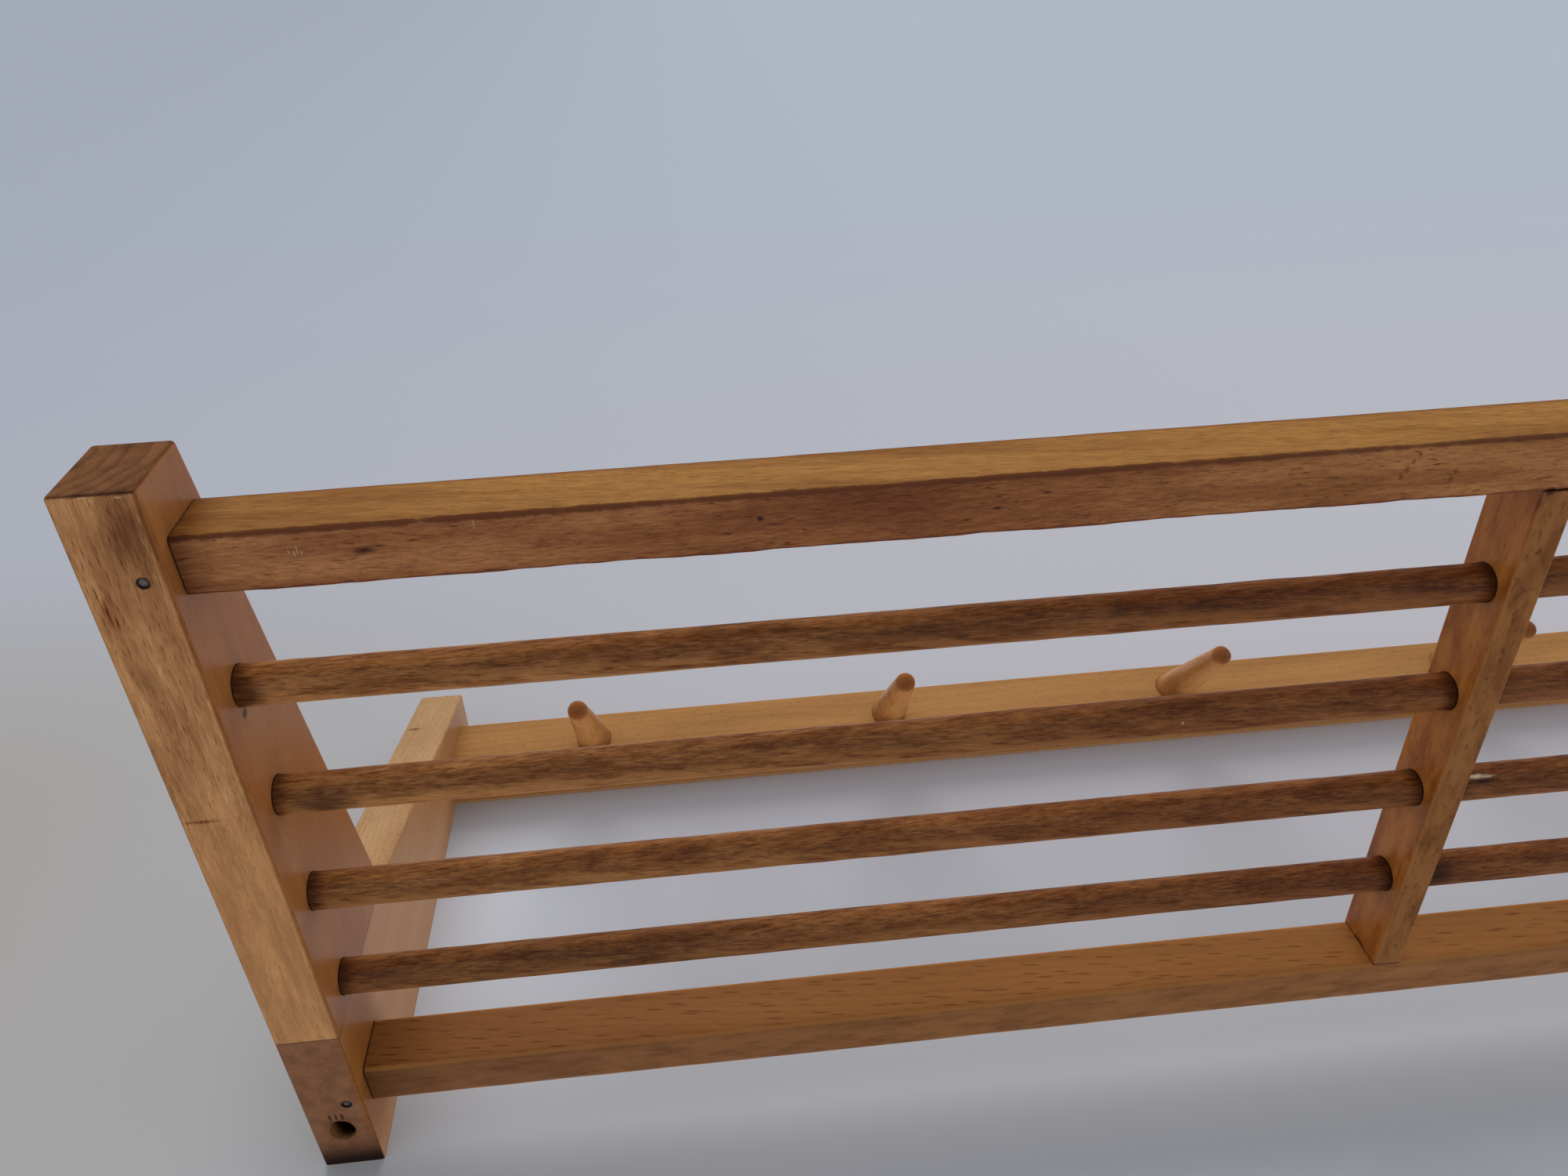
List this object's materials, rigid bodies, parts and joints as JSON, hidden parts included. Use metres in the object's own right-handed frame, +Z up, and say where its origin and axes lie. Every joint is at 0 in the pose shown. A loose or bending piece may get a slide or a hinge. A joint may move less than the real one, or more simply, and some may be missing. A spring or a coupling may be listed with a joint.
{
  "type": "wall coat rack with shelf",
  "caption": "Wall coat rack in beech: tapered L brackets carry a hat shelf of rails and round dowels above a rail of coat pegs that lean upwards.",
  "frame": {"origin": "centre of the peg rail's back face, on the wall plane at mid-length", "axes": "+X along the rack to the right as seen from the room, +Y into the wall, +Z up"},
  "size_m": [0.922, 0.3215, 0.285],
  "materials": {
    "beech_board": "aged clear lacquer",
    "beech_rail": "aged clear lacquer",
    "beech_shelf_dowel": "dark, worn",
    "beech_peg": "aged clear lacquer",
    "beech_pin": "bare",
    "nail_steel": "dull"
  },
  "bodies": {
    "root": {"right_wall_leg": "beech_board", "left_wall_leg": "beech_board", "right_shelf_arm": "beech_board", "left_shelf_arm": "beech_board", "front_rail": "beech_rail", "rear_rail": "beech_rail", "crossbar": "beech_rail", "peg_rail": "beech_rail", "shelf_dowel_1": "beech_shelf_dowel", "shelf_dowel_2": "beech_shelf_dowel", "shelf_dowel_3": "beech_shelf_dowel", "shelf_dowel_4": "beech_shelf_dowel", "coat_peg_1": "beech_peg", "coat_peg_2": "beech_peg", "coat_peg_3": "beech_peg", "coat_peg_4": "beech_peg", "coat_peg_5": "beech_peg", "right_corner_dowels": "beech_pin", "left_corner_dowels": "beech_pin", "front_rail_nails": "nail_steel", "rear_rail_nails": "nail_steel"}
  },
  "joints": []
}
